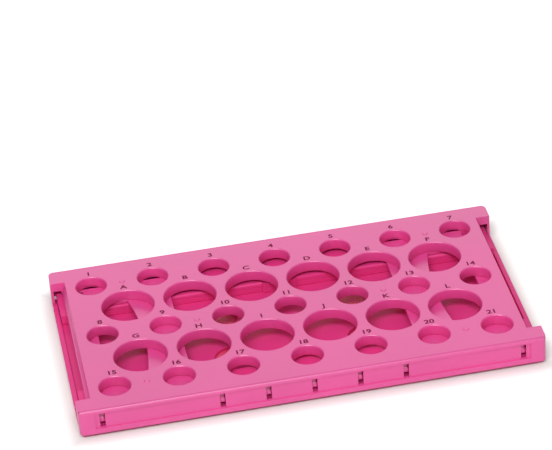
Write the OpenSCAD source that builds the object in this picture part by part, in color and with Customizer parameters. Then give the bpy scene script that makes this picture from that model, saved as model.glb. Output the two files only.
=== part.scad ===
// Folding centrifuge tube rack for 15 mL and 50 mL conical tubes, lengths in mm.
// Drawn folded flat: the base lies on z = 0 and the top plate is level above it.
// Each long wall is two bands that fold inward between the base and the top plate.

/* [Hole grid] */
// Distance between neighbouring holes of one row
pitch = 36; // [34:0.5:44]
// Distance between two rows of holes
row_pitch = 25; // [24:0.5:32]
// Number of small holes in each of the three outer and middle rows
small_count = 7; // [3:1:11]
// Radius of a hole for a 15 mL tube
small_r = 8.9; // [7:0.1:9.5]
// Radius of a hole for a 50 mL tube
large_r = 15.1; // [12:0.1:15.4]
// Wall of the collar under each hole
collar_wall = 1.6; // [1:0.1:1.9]
// Depth of the collars below the plate's top face
collar_depth = 6.5; // [5.4:0.1:7]
// Chamfer at the mouth of each hole
mouth_chamfer = 0.5; // [0.2:0.1:0.9]

/* [Top plate] */
// Plate thickness
plate_t = 2.5; // [2:0.1:3]
// From the last hole of a row to the end of the plate
end_margin = 23; // [20:0.5:30]
// From the outer row of holes to the long edge of the plate
side_margin = 20; // [18:0.5:26]
// Corner radius of the plate
corner_r = 3; // [1:0.5:4]
// How far the plate's end stands back between its two ears
end_inset = 8.4; // [6:0.1:9]
// Width of each ear along the end
ear_wid = 12; // [10:0.5:13]
// Thickness of the ear's end wall
ear_wall_t = 1.4; // [1.2:0.1:2]
// Depth of the web on the inner side of each ear
ear_web_depth = 5.5; // [4:0.1:5.8]

/* [Skirts] */
// Height of the long skirts below the plate's top face
skirt_h = 15.5; // [14.2:0.1:16.4]
// Thickness of a skirt
skirt_t = 2; // [1.6:0.1:2.4]
// Depth of the sunk panel on a skirt's outer face
panel_sink = 0.8; // [0.3:0.1:1]
// Height of the skirt's bottom lip
skirt_lip = 3.2; // [2:0.1:4]
// From the end of the skirt to its sunk panel
skirt_end = 9; // [5:0.5:9.5]
// Width of each hook window
window_wid = 3; // [2.8:0.1:5]
// Height of each hook window
window_h = 9; // [6:0.1:9.4]
// From the plate's underside down to a hook window
window_top = 0.5; // [0.3:0.1:1]
// Spacing of the five inner hook windows
window_pitch = 25.7; // [20:0.1:27]
// From the end of the plate to the outermost hook window
window_end = 13; // [12.5:0.1:15]

/* [Walls] */
// Height of one wall band from hinge line to hinge line
band_h = 27.5; // [20:0.5:34]
// Thickness of a wall band
band_t = 3; // [2:0.1:3.2]
// Clear space between a wall band's end and the base's end rail
band_end_gap = 0.3; // [0.2:0.1:1]
// Clear space between a standing wall and the skirt outside it
skirt_clear = 0.3; // [0.2:0.1:0.6]
// Clear space between a folded wall and the stowed panel above it
wall_clear = 0.4; // [0.3:0.1:0.8]
// Half height of the long slots along the middle hinge
slot_half_h = 2; // [1:0.1:4]
// Radius of an upper band's rounded edge along its slots
edge_r = 1.5; // [0.8:0.1:1.6]
// Half length of the hinge strip at the middle of a wall
mid_strip = 10; // [6:0.5:16]
// Length of the hinge strip at each end of a wall
end_strip = 20; // [14:0.5:30]
// How far the foot of a wall stands above the ground
foot_gap = 0.4; // [0.2:0.1:0.8]
// How much higher the foot is between its hinge strips
foot_step = 1.2; // [0.4:0.1:1.4]
// Running gap on each side of a hinge line
hinge_gap = 0.1; // [0.05:0.01:0.15]

/* [Top hinges] */
// Radius of the rod along a wall's upper edge
rod_r = 1.5; // [1.2:0.1:1.6]
// Running clearance around the rods and pins
run_gap = 0.1; // [0.05:0.01:0.12]
// Wall of the snap hooks that hold the rods
hook_wall = 1.2; // [0.9:0.1:1.2]
// Width of a snap hook
hook_wid = 2.6; // [2:0.1:2.7]
// How far a hook wraps below the rod's centre
hook_wrap = 0.9; // [0.6:0.05:1]
// Clear space beside a hook in the wall's notch
notch_gap = 0.3; // [0.2:0.05:0.6]

/* [End panels] */
// Thickness of an end panel
panel_t = 1.9; // [1.6:0.1:2.2]
// Clear space between the hole collars and a stowed panel
panel_gap = 0.2; // [0.2:0.1:0.5]
// Length of an end panel below its pin
panel_len = 58.5; // [46:0.5:60]
// Half width of an end panel
panel_half_w = 57.6; // [50:0.1:57.6]
// Radius of the panel's pins
pin_r = 1.2; // [1:0.1:1.4]
// How far the pins stand back from the plate's end edge
pin_back = 0.2; // [0:0.1:0.6]
// Wall of a panel's barrel around its pin line
barrel_wall = 1; // [0.6:0.1:1.2]
// From the pin line to the near face of a hanging panel
panel_offset = 0.8; // [0.8:0.1:1.2]
// From the pin line down to the latch notches
latch_top = 6.5; // [6:0.5:8]
// Height of a latch notch
latch_h = 3; // [2:0.5:3]
// Width of a latch notch
latch_wid = 4; // [3:0.5:5]
// From the panel's side edge to a latch notch
latch_in = 1.6; // [1:0.1:3]
// Wall of the ear's eye around a pin
eye_wall = 1.4; // [1:0.1:1.4]
// Thickness of the ear's inner web and eye
web_t = 2; // [1.5:0.1:2.5]
// From the pin down to the top of the hand window
hand_top = 12.5; // [11:0.5:14]
// From the pin down to the lowest point of the hand window
hand_bottom = 38; // [32:0.5:44]
// Half width of the hand window
hand_half_w = 40; // [30:0.5:46]
// Rise of the hand window's curved lower edge
hand_rise = 4.5; // [2:0.5:8]
// Corner radius of the hand window
hand_corner_r = 5; // [3:0.5:7]

/* [Base] */
// Thickness of the base floor
floor_t = 2; // [1.6:0.1:2.5]
// Height of the rail at each end of the base
rail_h = 4; // [3:0.5:7]
// Thickness of an end rail
rail_t = 2.7; // [2:0.1:3.2]
// Clear space between a rail's end and an ear
rail_gap = 1; // [0.5:0.5:4]
// Clear space between the floor's corners and the ears' end walls
floor_end_gap = 0.3; // [0.2:0.1:1.5]
// Radius of the round openings in the floor
vent_r = 9.4; // [5:0.1:11]
// Distance of the floor openings from the middle, along the rack
vent_x = 38.3; // [30:0.5:44]
// Distance of the floor openings from the middle, across the rack
vent_y = 18.5; // [14:0.5:26]

/* [Hidden] */
$fn = 40;
// How far the walls are folded: 90 is flat, 0 stands upright.
fold_deg = 90;
// How far the end panels are swung up: 90 lies under the plate, 0 hangs down.
stow_deg = 90;
// Overcut of a cutting shape, and the small one beside a hook
over = 1;
nick = 0.1;
large_count = small_count - 1;
small_x0 = -(small_count - 1) / 2 * pitch;
large_x0 = -(large_count - 1) / 2 * pitch;
half_l = -small_x0 + end_margin;
half_w = 2 * row_pitch + side_margin;
inner_l = half_l - end_inset;
inner_w = half_w - ear_wid;
skirt_in = half_w - skirt_t;
ear_in = half_l - ear_wall_t;
rail_in = half_l - rail_t;
wall_half = rail_in - band_end_gap;
floor_half = skirt_in - skirt_clear - band_t - hinge_gap;
// Hinge lines of the rear wall, [y, z], upright and as drawn
stand_off = band_t + 2 * hinge_gap;
pin_depth = collar_depth + panel_gap - panel_offset;
rod_depth = collar_depth + panel_gap + panel_t + wall_clear - hinge_gap;
foot_z = floor_t + hinge_gap;
mid_y = floor_half + stand_off;
mid_z = foot_z + band_h;
rod_z = mid_z + band_h;
now_mid_y = floor_half + stand_off * cos(fold_deg) - band_h * sin(fold_deg);
now_mid_z = foot_z + stand_off * sin(fold_deg) + band_h * cos(fold_deg);
now_rod_z = 2 * now_mid_z - foot_z;
plate_z = now_rod_z + rod_depth;
hook_r = rod_r + run_gap + hook_wall;
eye_r = pin_r + run_gap + eye_wall;
pin_x = inner_l - pin_back;
rail_half = inner_w - rail_gap;
hand_r = (hand_half_w * hand_half_w + hand_rise * hand_rise) / (2 * hand_rise);
hook_xs = [-(half_l - window_end), -2 * window_pitch, -window_pitch, 0,
           window_pitch, 2 * window_pitch, half_l - window_end];
body_col = [0.86, 0.30, 0.58];
wall_col = [0.80, 0.22, 0.48];

module box(x0, x1, y0, y1, z0, z1) {
  translate([x0, y0, z0]) cube([x1 - x0, y1 - y0, z1 - z0]);
}

module both_ends() {
  children();
  mirror([1, 0, 0]) children();
}

module both_sides() {
  children();
  mirror([0, 1, 0]) children();
}

// Spans of a wall between its hinge strips
module between_strips(y0, y1, z0, z1) {
  both_ends() box(mid_strip, wall_half - end_strip, y0, y1, z0, z1);
}

module small_spots() {
  for (row = [-1, 0, 1])
    for (i = [0 : small_count - 1])
      translate([small_x0 + i * pitch, row * 2 * row_pitch, 0]) children();
}

module large_spots() {
  for (row = [-1, 1])
    for (i = [0 : large_count - 1])
      translate([large_x0 + i * pitch, row * row_pitch, 0]) children();
}

module collar(r) {
  translate([0, 0, -collar_depth]) cylinder(r = r + collar_wall, h = collar_depth - plate_t / 2);
}

module bore(r) {
  translate([0, 0, -collar_depth - over]) cylinder(r = r, h = collar_depth + 2 * over);
  translate([0, 0, -mouth_chamfer]) cylinder(r1 = r, r2 = r + mouth_chamfer + over, h = mouth_chamfer + over);
}

// Wall bands of the rear side, upright, in the rack's own place
module lower_band() {
  y0 = floor_half + hinge_gap;
  difference() {
    box(-wall_half, wall_half, y0, y0 + band_t, foot_gap, mid_z - hinge_gap);
    between_strips(y0 - over, y0 + band_t + over, mid_z - slot_half_h, mid_z + over);
    between_strips(y0 - over, y0 + band_t + over, foot_gap - over, foot_gap + foot_step);
  }
}

module upper_band() {
  y0 = floor_half + hinge_gap;
  notch_half = hook_wid / 2 + notch_gap;
  round_r = min(edge_r, band_t / 2);
  difference() {
    box(-wall_half, wall_half, y0, y0 + band_t, mid_z + hinge_gap, rod_z);
    between_strips(y0 - over, y0 + band_t + over, mid_z - over, mid_z + slot_half_h);
    between_strips(y0 - over, y0 + round_r, mid_z - over, mid_z + slot_half_h + round_r);
    for (x = hook_xs)
      box(x - notch_half, x + notch_half, y0 - over, y0 + band_t + over,
          rod_z - hook_r - notch_gap, rod_z + over);
  }
  // Rounded edge of the inner face along the slots
  both_ends() translate([mid_strip, y0 + round_r, mid_z + slot_half_h + round_r]) rotate([0, 90, 0])
    cylinder(r = round_r, h = wall_half - end_strip - mid_strip);
  translate([-wall_half, floor_half, rod_z]) rotate([0, 90, 0]) cylinder(r = rod_r, h = 2 * wall_half);
}

module lower_folded() {
  translate([0, floor_half, foot_z]) rotate([fold_deg, 0, 0]) translate([0, -floor_half, -foot_z])
    lower_band();
}

module upper_folded() {
  translate([0, now_mid_y, now_mid_z]) rotate([-fold_deg, 0, 0]) translate([0, -mid_y, -mid_z])
    upper_band();
}

module snap_hook() {
  difference() {
    union() {
      rotate([0, 90, 0]) cylinder(r = hook_r, h = hook_wid, center = true);
      box(-hook_wid / 2, hook_wid / 2, -hook_r, hook_r - hook_wall, 0, rod_depth - plate_t / 2);
    }
    rotate([0, 90, 0]) cylinder(r = rod_r + run_gap, h = hook_wid + 2 * over, center = true);
    box(-hook_wid, hook_wid, -2 * hook_r, 2 * hook_r, -2 * hook_r, -hook_wrap);
  }
}

// Ear web with the eye that takes a panel's pin, at the right rear corner
module ear_web() {
  box(pin_x, half_l - ear_wall_t / 2, inner_w, inner_w + web_t, -ear_web_depth, -plate_t / 2);
  translate([pin_x, inner_w, -pin_depth]) rotate([-90, 0, 0]) cylinder(r = eye_r, h = web_t);
  box(pin_x - eye_r, pin_x + eye_r, inner_w, inner_w + web_t, -pin_depth, -plate_t / 2);
}

module pin_hole() {
  translate([pin_x, inner_w - over, -pin_depth]) rotate([-90, 0, 0])
    cylinder(r = pin_r + run_gap, h = web_t + 2 * over);
}

module plate_outline() {
  difference() {
    hull()
      for (sx = [-1, 1], sy = [-1, 1])
        translate([sx * (half_l - corner_r), sy * (half_w - corner_r)]) circle(r = corner_r);
    both_ends() translate([inner_l, -inner_w]) square([end_inset + over, 2 * inner_w]);
  }
}

module plate_body() {
  difference() {
    union() {
      // Plate with its ears, skirts and end walls
      difference() {
        translate([0, 0, -skirt_h]) linear_extrude(height = skirt_h) plate_outline();
        box(-ear_in, ear_in, -skirt_in, skirt_in, -skirt_h - over, -plate_t);
        both_ends() box(inner_l - over, half_l + over, -inner_w, inner_w, -skirt_h - over, -plate_t);
      }
      small_spots() collar(small_r);
      large_spots() collar(large_r);
      both_sides()
        for (x = hook_xs)
          translate([x, floor_half, -rod_depth]) snap_hook();
      both_ends() both_sides() ear_web();
    }
    small_spots() bore(small_r);
    large_spots() bore(large_r);
    both_sides() {
      box(skirt_end - half_l, half_l - skirt_end, half_w - panel_sink, half_w + over,
          skirt_lip - skirt_h, -plate_t);
      for (x = hook_xs)
        box(x - window_wid / 2, x + window_wid / 2, skirt_in - nick, half_w + over,
            -plate_t - window_top - window_h, -plate_t - window_top);
    }
    both_ends() both_sides() pin_hole();
  }
}

// Right end panel hanging from its pins, pin line at the origin
module hanging_panel() {
  barrel_r = pin_r + barrel_wall;
  difference() {
    union() {
      box(panel_offset, panel_offset + panel_t, -panel_half_w, panel_half_w, -panel_len, 0);
      box(0, panel_offset + panel_t / 2, -panel_half_w, panel_half_w, -barrel_r, 0);
      rotate([90, 0, 0]) cylinder(r = barrel_r, h = 2 * panel_half_w, center = true);
      rotate([90, 0, 0]) cylinder(r = pin_r, h = 2 * (inner_w + web_t), center = true);
    }
    // The panel's hinge edge is no higher than its barrel
    box(barrel_r, panel_offset + panel_t + over, -panel_half_w - over, panel_half_w + over,
        -barrel_wall, over);
    hand_window();
    both_sides()
      box(-over, panel_offset + panel_t + over, panel_half_w - latch_wid - latch_in,
          panel_half_w - latch_in, -latch_top - latch_h, -latch_top);
  }
}

module hand_window() {
  intersection() {
    hull()
      for (sy = [-1, 1], z = [-hand_top - hand_corner_r, -hand_bottom + hand_corner_r])
        translate([-over, sy * (hand_half_w - hand_corner_r), z]) rotate([0, 90, 0])
          cylinder(r = hand_corner_r, h = panel_offset + panel_t + 2 * over);
    translate([-over, 0, hand_r - hand_bottom]) rotate([0, 90, 0])
      cylinder(r = hand_r, h = panel_offset + panel_t + 2 * over, $fn = 96);
  }
}

module placed_panel() {
  translate([pin_x, 0, plate_z - pin_depth]) rotate([0, stow_deg, 0]) hanging_panel();
}

module base() {
  color(wall_col) difference() {
    union() {
      box(floor_end_gap - ear_in, ear_in - floor_end_gap, -floor_half, floor_half, 0, floor_t);
      box(-half_l, half_l, -rail_half, rail_half, 0, floor_t);
      both_ends() box(rail_in, half_l, -rail_half, rail_half, 0, rail_h);
    }
    both_ends() both_sides() translate([vent_x, vent_y, -over])
      cylinder(r = vent_r, h = floor_t + 2 * over);
  }
}

module front_lower_wall() { color(wall_col) mirror([0, 1, 0]) lower_folded(); }
module front_upper_wall() { color(wall_col) mirror([0, 1, 0]) upper_folded(); }
module rear_lower_wall() { color(wall_col) lower_folded(); }
module rear_upper_wall() { color(wall_col) upper_folded(); }
module top_plate() { color(body_col) translate([0, 0, plate_z]) plate_body(); }
module right_end_panel() { color(body_col) placed_panel(); }
module left_end_panel() { color(body_col) mirror([1, 0, 0]) placed_panel(); }

base();
front_lower_wall();
front_upper_wall();
rear_lower_wall();
rear_upper_wall();
top_plate();
left_end_panel();
right_end_panel();
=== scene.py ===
"""Looks of the folding centrifuge tube rack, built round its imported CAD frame."""
import math
import bpy
import bmesh
from mathutils import Matrix, Vector


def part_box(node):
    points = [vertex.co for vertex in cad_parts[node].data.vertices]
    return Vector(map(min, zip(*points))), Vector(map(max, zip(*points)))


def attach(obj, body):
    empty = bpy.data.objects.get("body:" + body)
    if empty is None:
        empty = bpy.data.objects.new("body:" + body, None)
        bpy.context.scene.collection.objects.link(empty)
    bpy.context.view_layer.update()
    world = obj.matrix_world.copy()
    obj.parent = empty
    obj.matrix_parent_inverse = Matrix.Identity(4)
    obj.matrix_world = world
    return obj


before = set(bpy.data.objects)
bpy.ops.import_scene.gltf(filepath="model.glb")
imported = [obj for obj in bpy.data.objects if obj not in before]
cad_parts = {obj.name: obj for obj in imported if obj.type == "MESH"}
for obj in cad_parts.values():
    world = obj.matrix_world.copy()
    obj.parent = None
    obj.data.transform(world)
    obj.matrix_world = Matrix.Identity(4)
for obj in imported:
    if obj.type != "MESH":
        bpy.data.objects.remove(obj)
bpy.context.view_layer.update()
MM = 0.001

# Spacing of the holes along a row and from row to row, as in the CAD model
PITCH, ROW = 36.0, 25.0
PLATE_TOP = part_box("top_plate")[1].z / MM


def linear(rgb):
    """Linear colour of an 8-bit screen colour."""
    out = []
    for c in rgb:
        c = c / 255.0
        out.append(c / 12.92 if c <= 0.04045 else ((c + 0.055) / 1.055) ** 2.4)
    return (*out, 1.0)


# Noise of the plastic. The mottle's ramp runs between two noise values, the spread is how far
# the roughness wanders either way, and the grain's depth is in metres.
MOTTLE_SCALE, MOTTLE_DETAIL, MOTTLE_RAMP = 14.0, 3.0, (0.3, 0.7)
GLOSS_SPREAD = 0.04
GRAIN_SCALE, GRAIN_DETAIL, GRAIN_DEPTH = 1600.0, 2.0, 0.0002


def plastic(name, rgb, rough, spec, mottle=0.05, grain=0.02):
    """Moulded plastic: a faint mottle in colour and gloss, and a very fine grain."""
    mat = bpy.data.materials.new(name)
    mat.use_nodes = True
    nt = mat.node_tree
    bsdf = nt.nodes["Principled BSDF"]
    coord = nt.nodes.new("ShaderNodeTexCoord")
    cloud = nt.nodes.new("ShaderNodeTexNoise")
    cloud.inputs["Scale"].default_value = MOTTLE_SCALE
    cloud.inputs["Detail"].default_value = MOTTLE_DETAIL
    nt.links.new(coord.outputs["Object"], cloud.inputs["Vector"])
    ramp = nt.nodes.new("ShaderNodeValToRGB")
    base = linear(rgb)
    ramp.color_ramp.elements[0].position = MOTTLE_RAMP[0]
    ramp.color_ramp.elements[1].position = MOTTLE_RAMP[1]
    ramp.color_ramp.elements[0].color = (*[c * (1 - mottle) for c in base[:3]], 1.0)
    ramp.color_ramp.elements[1].color = (*[min(1.0, c * (1 + mottle)) for c in base[:3]], 1.0)
    nt.links.new(cloud.outputs["Fac"], ramp.inputs["Fac"])
    nt.links.new(ramp.outputs["Color"], bsdf.inputs["Base Color"])
    gloss = nt.nodes.new("ShaderNodeMapRange")
    gloss.inputs["To Min"].default_value = rough - GLOSS_SPREAD
    gloss.inputs["To Max"].default_value = rough + GLOSS_SPREAD
    nt.links.new(cloud.outputs["Fac"], gloss.inputs["Value"])
    nt.links.new(gloss.outputs["Result"], bsdf.inputs["Roughness"])
    fine = nt.nodes.new("ShaderNodeTexNoise")
    fine.inputs["Scale"].default_value = GRAIN_SCALE
    fine.inputs["Detail"].default_value = GRAIN_DETAIL
    nt.links.new(coord.outputs["Object"], fine.inputs["Vector"])
    bump = nt.nodes.new("ShaderNodeBump")
    bump.inputs["Strength"].default_value = grain
    bump.inputs["Distance"].default_value = GRAIN_DEPTH
    nt.links.new(fine.outputs["Fac"], bump.inputs["Height"])
    nt.links.new(bump.outputs["Normal"], bsdf.inputs["Normal"])
    bsdf.inputs["Specular IOR Level"].default_value = spec
    return mat


def maths(nt, kind, a, b=None):
    """One math node; its inputs are floats or other nodes' outputs."""
    node = nt.nodes.new("ShaderNodeMath")
    node.operation = kind
    for slot, value in enumerate((a, b)):
        if value is None:
            continue
        if isinstance(value, float):
            node.inputs[slot].default_value = value
        else:
            nt.links.new(value, node.inputs[slot])
    return node.outputs[0]


def step(nt, socket, lo, hi):
    """A smooth rise from 0 at lo to 1 at hi."""
    node = nt.nodes.new("ShaderNodeMapRange")
    node.interpolation_type = "SMOOTHSTEP"
    node.inputs["From Min"].default_value = lo
    node.inputs["From Max"].default_value = hi
    nt.links.new(socket, node.inputs["Value"])
    return node.outputs["Result"]


# Keeps the rounding's direction from having no length, in metres
TINY = 1e-6


def round_front(mat, edge_y, top, r):
    """Shades the plate's front top edge, along X, as a rounding of radius r, in metres."""
    nt = mat.node_tree
    bump = next(n for n in nt.nodes if n.type == "BUMP")
    coord = nt.nodes.new("ShaderNodeTexCoord")
    geo = nt.nodes.new("ShaderNodeNewGeometry")
    split = nt.nodes.new("ShaderNodeSeparateXYZ")
    nt.links.new(coord.outputs["Object"], split.inputs[0])
    past = maths(nt, "SUBTRACT", edge_y + r, split.outputs["Y"])
    high = maths(nt, "SUBTRACT", split.outputs["Z"], top - r)
    zone = maths(nt, "MULTIPLY", maths(nt, "GREATER_THAN", past, 0.0),
                 maths(nt, "GREATER_THAN", high, 0.0))
    join = nt.nodes.new("ShaderNodeCombineXYZ")
    nt.links.new(maths(nt, "MULTIPLY", maths(nt, "MAXIMUM", past, 0.0), -1.0), join.inputs["Y"])
    nt.links.new(maths(nt, "MAXIMUM", high, TINY), join.inputs["Z"])
    turn = nt.nodes.new("ShaderNodeVectorTransform")
    turn.vector_type = "NORMAL"
    turn.convert_from, turn.convert_to = "OBJECT", "WORLD"
    nt.links.new(join.outputs[0], turn.inputs[0])
    pick = nt.nodes.new("ShaderNodeMix")
    pick.data_type = "VECTOR"
    # Input 0 is the factor, 4 and 5 are the two vectors
    nt.links.new(zone, pick.inputs[0])
    nt.links.new(geo.outputs["Normal"], pick.inputs[4])
    nt.links.new(turn.outputs[0], pick.inputs[5])
    unit = nt.nodes.new("ShaderNodeVectorMath")
    unit.operation = "NORMALIZE"
    nt.links.new(pick.outputs[1], unit.inputs[0])
    nt.links.new(unit.outputs[0], bump.inputs["Normal"])


# The plate and the walls are one pink plastic in a lit and a shaded copy: the walls' copy is
# more saturated, painted shade for the deeper colour the walls show in the shade inside the
# holes; it is also rougher and less glossy.
PLATE = plastic("rack_plate_plastic", (230, 76, 154), rough=0.36, spec=1.0)
WALL = plastic("rack_wall_plastic", (234, 62, 142), rough=0.50, spec=0.3)
INK = plastic("label_ink", (128, 8, 66), rough=0.6, mottle=0.12, spec=0.15)


def paint(obj, mat):
    obj.data.materials.clear()
    obj.data.materials.append(mat)


# Points closer than this are joined, in metres; faces closer than this to flat are joined and
# edges sharper than this are rounded, in degrees
WELD_GAP, FLAT_DEG, SHARP_DEG = 1e-6, 0.6, 35
EDGE_SEGMENTS = 2


def soften(obj, width):
    """Rounds a CAD piece's edges, by a width in mm, without touching its own mesh."""
    weld = obj.modifiers.new("weld", "WELD")
    weld.merge_threshold = WELD_GAP
    flat = obj.modifiers.new("flat", "DECIMATE")
    flat.decimate_type = "DISSOLVE"
    flat.angle_limit = math.radians(FLAT_DEG)
    bevel = obj.modifiers.new("bevel", "BEVEL")
    bevel.width = width * MM
    bevel.segments = EDGE_SEGMENTS
    bevel.limit_method = "ANGLE"
    bevel.angle_limit = math.radians(SHARP_DEG)
    bevel.use_clamp_overlap = True
    bevel.harden_normals = True


# Shaded rounding of the plate's front top edge, in mm
FRONT_ROUND = 1.7
plate_corners = [Vector(c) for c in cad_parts["top_plate"].bound_box]
round_front(PLATE, min(c.y for c in plate_corners), max(c.z for c in plate_corners),
            FRONT_ROUND * MM)

# Edge rounding of each CAD piece, in mm
PLATE_EDGE = {"top_plate": 0.3, "left_end_panel": 0.3, "right_end_panel": 0.3}
WALL_EDGE = {"base": 0.35, "front_lower_wall": 0.25, "front_upper_wall": 0.2,
             "rear_lower_wall": 0.25, "rear_upper_wall": 0.2}
for edges, plastic_mat in ((PLATE_EDGE, PLATE), (WALL_EDGE, WALL)):
    for node, width in edges.items():
        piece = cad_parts[node]
        paint(piece, plastic_mat)
        soften(piece, width)


def mesh_object(name, bm, mat, body):
    """A visual piece that rides on one body of the rack."""
    me = bpy.data.meshes.new(name)
    bm.to_mesh(me)
    bm.free()
    me.materials.append(mat)
    ob = bpy.data.objects.new(name, me)
    bpy.context.scene.collection.objects.link(ob)
    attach(ob, body)


# Printed labels, one mesh: numbers by the small holes and letters by the large ones.
# Height, added boldness and thickness are in mm; the stretch widens the letters.
LABEL_SIZE, LABEL_BOLD, LABEL_T = 5.0, 0.15, 0.05
LABEL_STRETCH, LABEL_CURVES = 1.15, 4
# From a hole's centre to the middle of its label, in mm
SMALL_OUT, LARGE_OUT = 12.5, 18.7
NUMBERS_IN_ROW, LETTERS_IN_ROW = 7, 6
LETTERS = "ABCDEFGHIJKL"


def label_spots():
    """Each label's text and the place of its middle on the plate, in mm."""
    n = 0
    for y in (2 * ROW, 0.0, -2 * ROW):
        for i in range(NUMBERS_IN_ROW):
            n += 1
            yield str(n), (i - (NUMBERS_IN_ROW - 1) / 2) * PITCH, y + SMALL_OUT
    for r, y in enumerate((ROW, -ROW)):
        for i in range(LETTERS_IN_ROW):
            letter = LETTERS[LETTERS_IN_ROW * r + i]
            yield letter, (i - (LETTERS_IN_ROW - 1) / 2) * PITCH, y + LARGE_OUT


def printed_labels():
    bm = bmesh.new()
    for word, x, y in label_spots():
        curve = bpy.data.curves.new("word", "FONT")
        curve.body = word
        curve.align_x = "CENTER"
        curve.align_y = "CENTER"
        curve.size = LABEL_SIZE * MM
        curve.extrude = LABEL_T * MM / 2
        curve.offset = LABEL_BOLD * MM
        curve.resolution_u = LABEL_CURVES
        tmp = bpy.data.objects.new("word", curve)
        bpy.context.scene.collection.objects.link(tmp)
        bpy.context.view_layer.update()
        dg = bpy.context.evaluated_depsgraph_get()
        me = bpy.data.meshes.new_from_object(tmp.evaluated_get(dg))
        me.transform(Matrix.Translation(Vector((x, y, PLATE_TOP)) * MM)
                     @ Matrix.Diagonal((LABEL_STRETCH, 1, 1, 1)))
        bm.from_mesh(me)
        bpy.data.objects.remove(tmp)
        bpy.data.meshes.remove(me)
        bpy.data.curves.remove(curve)
    mesh_object("printed_labels", bm, INK, "top")


printed_labels()


# Pips on the plate, in mm: radius of the flat top, width of the sloping rim, height, and places
PIP_R, PIP_RIM, PIP_H = 1.3, 0.5, 0.38
PIP_SIDES = 28
PIPS = [(sx * x, y) for sx in (-1, 1) for x, y in ((90.0, 50.0), (90.0, -50.0), (54.0, 0.0))]


def pip(bm, x, y):
    """A low round pip with a sloping rim on the plate's top face, the mark of an ejector pin."""
    rows = []
    for rad, z in ((PIP_R + PIP_RIM, 0.0), (PIP_R, PIP_H)):
        rows.append([bm.verts.new(Vector((x + rad * math.cos(2 * math.pi * k / PIP_SIDES),
                                          y + rad * math.sin(2 * math.pi * k / PIP_SIDES),
                                          PLATE_TOP + z)) * MM) for k in range(PIP_SIDES)])
    for k in range(PIP_SIDES):
        n = (k + 1) % PIP_SIDES
        bm.faces.new((rows[0][k], rows[0][n], rows[1][n], rows[1][k]))
    bm.faces.new(rows[1])


def plate_pips():
    bm = bmesh.new()
    for x, y in PIPS:
        pip(bm, x, y)
    bmesh.ops.recalc_face_normals(bm, faces=bm.faces)
    mesh_object("plate_pin_marks", bm, PLATE, "top")


plate_pips()

# Floor: white to the camera, and it keeps the rack's shadow. All its sizes are in metres:
# half its side, and how far it lies below the rack.
FLOOR, FLOOR_DROP = 3.0, 0.0002
floor_bm = bmesh.new()
floor_bm.faces.new([floor_bm.verts.new((sx * FLOOR, sy * FLOOR, 0))
                    for sx, sy in ((-1, -1), (1, -1), (1, 1), (-1, 1))])
floor_mesh = bpy.data.meshes.new("floor")
floor_bm.to_mesh(floor_mesh)
floor_bm.free()
floor = bpy.data.objects.new("floor", floor_mesh)
floor.location.z = -FLOOR_DROP
bpy.context.scene.collection.objects.link(floor)
floor_mat = plastic("floor_paint", (242, 241, 238), rough=0.7, mottle=0.005, grain=0.0, spec=0.2)
floor_mesh.materials.append(floor_mat)

# Half length and half width of the floor under the rack
UNDER_X, UNDER_Y = 0.131, 0.070
# Added white: its strength beside the rack and far from it, and the distances from the rack
# between which each of the two comes in. Weaker white beside the rack and none under it paint a
# shadow round the rack.
NEAR_WHITE, FAR_WHITE = 0.04, 0.4
NEAR_STEP, FAR_STEP = (0.0, 0.002), (0.001, 0.011)
# Painted shade and pink bounce light on the ground under the coloured plastic: how far off the
# plastic still counts, the openness over which the painted shade fades, the strip along the
# rack's edge over which it fades, and its colour
COVER_REACH, COVER_SAMPLES = 0.03, 8
COVER_OPEN, COVER_EDGE = (0.45, 0.95), 0.006
PAINTED_SHADE_COLOUR = (232, 70, 120)


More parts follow.
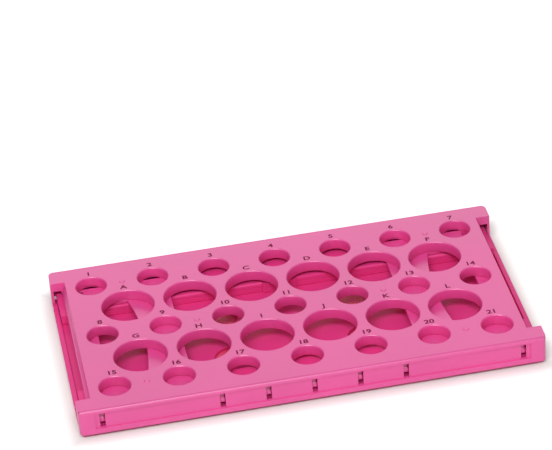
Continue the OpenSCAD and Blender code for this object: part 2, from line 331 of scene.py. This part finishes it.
def whiten(mat):
    """Adds white to the floor as the camera sees it, weaker close to the rack as a painted
    shadow, and paints pink shade onto the ground under the rack.
    """
    nt = mat.node_tree
    out = next(n for n in nt.nodes if n.type == "OUTPUT_MATERIAL")
    bsdf = nt.nodes["Principled BSDF"]
    split = nt.nodes.new("ShaderNodeSeparateXYZ")
    coord = nt.nodes.new("ShaderNodeTexCoord")
    nt.links.new(coord.outputs["Object"], split.inputs[0])
    beside_x = maths(nt, "SUBTRACT", maths(nt, "ABSOLUTE", split.outputs["X"]), UNDER_X)
    beside_y = maths(nt, "SUBTRACT", maths(nt, "ABSOLUTE", split.outputs["Y"]), UNDER_Y)
    away = maths(nt, "MAXIMUM", beside_x, beside_y)
    # Less white close beside the rack and none under it: a painted shadow round the rack
    rise = maths(nt, "MULTIPLY", step(nt, away, *NEAR_STEP), NEAR_WHITE)
    more = maths(nt, "MULTIPLY", step(nt, away, *FAR_STEP), FAR_WHITE - NEAR_WHITE)
    # Painted shade and pink bounce light on the ground under the rack, wherever the plastic
    # covers it
    near_by = nt.nodes.new("ShaderNodeAmbientOcclusion")
    near_by.samples = COVER_SAMPLES
    near_by.inputs["Distance"].default_value = COVER_REACH
    inside = maths(nt, "SUBTRACT", 1.0, step(nt, away, -COVER_EDGE, 0.0))
    hidden = maths(nt, "SUBTRACT", 1.0, step(nt, near_by.outputs["AO"], *COVER_OPEN))
    painted_shade_mix = nt.nodes.new("ShaderNodeMixRGB")
    nt.links.new(maths(nt, "MULTIPLY", inside, hidden), painted_shade_mix.inputs["Fac"])
    nt.links.new(bsdf.inputs["Base Color"].links[0].from_socket, painted_shade_mix.inputs["Color1"])
    painted_shade_mix.inputs["Color2"].default_value = linear(PAINTED_SHADE_COLOUR)
    nt.links.new(painted_shade_mix.outputs["Color"], bsdf.inputs["Base Color"])
    path = nt.nodes.new("ShaderNodeLightPath")
    seen = maths(nt, "MULTIPLY", path.outputs["Is Camera Ray"], maths(nt, "ADD", rise, more))
    glow = nt.nodes.new("ShaderNodeEmission")
    nt.links.new(seen, glow.inputs["Strength"])
    add = nt.nodes.new("ShaderNodeAddShader")
    nt.links.new(bsdf.outputs["BSDF"], add.inputs[0])
    nt.links.new(glow.outputs["Emission"], add.inputs[1])
    nt.links.new(add.outputs["Shader"], out.inputs["Surface"])


whiten(floor_mat)


# The point all lights face, in metres
AIM = Vector((0, 0, 0.01))


def area(name, loc, size, power):
    """A soft rectangular light that faces the rack, in metres and watts."""
    data = bpy.data.lights.new(name, "AREA")
    data.shape = "RECTANGLE"
    data.size, data.size_y = size
    data.energy = power
    ob = bpy.data.objects.new(name, data)
    ob.location = loc
    ob.rotation_mode = "QUATERNION"
    ob.rotation_quaternion = (AIM - Vector(loc)).to_track_quat("-Z", "Y")
    bpy.context.scene.collection.objects.link(ob)


area("key", (-0.32, -0.96, 1.32), (1.2, 0.4), 16.5)
area("back", (0.18, 1.35, 0.72), (1.8, 0.6), 5.5)
area("front", (-0.10, -1.60, 0.38), (1.6, 0.5), 3)

WORLD_LIGHT = 0.37
world = bpy.data.worlds.new("studio")
bpy.context.scene.world = world
world.use_nodes = True
world.node_tree.nodes["Background"].inputs["Color"].default_value = (1, 1, 1, 1)
world.node_tree.nodes["Background"].inputs["Strength"].default_value = WORLD_LIGHT

# Camera: its axes and its place in the rack's frame, in metres; sensor and lens in mm
RIGHT = Vector((0.980846, -0.184410, -0.062722))
DOWN = Vector((-0.152841, -0.529026, -0.834728))
AHEAD = Vector((0.120751, 0.828326, -0.547079))
PLACE = Vector((-0.19247, -1.28680, 0.92237))
SENSOR, LENS = 36.0, 181.90
CLIP = (0.05, 20.0)
cam_data = bpy.data.cameras.new("camera")
cam_data.sensor_width = SENSOR
cam_data.lens = LENS
cam_data.clip_start, cam_data.clip_end = CLIP
cam = bpy.data.objects.new("camera", cam_data)
back = -AHEAD
cam.matrix_world = Matrix((
    (RIGHT.x, -DOWN.x, back.x, PLACE.x),
    (RIGHT.y, -DOWN.y, back.y, PLACE.y),
    (RIGHT.z, -DOWN.z, back.z, PLACE.z),
    (0, 0, 0, 1)))
bpy.context.scene.collection.objects.link(cam)
bpy.context.scene.camera = cam
bpy.context.scene.view_settings.view_transform = "Standard"
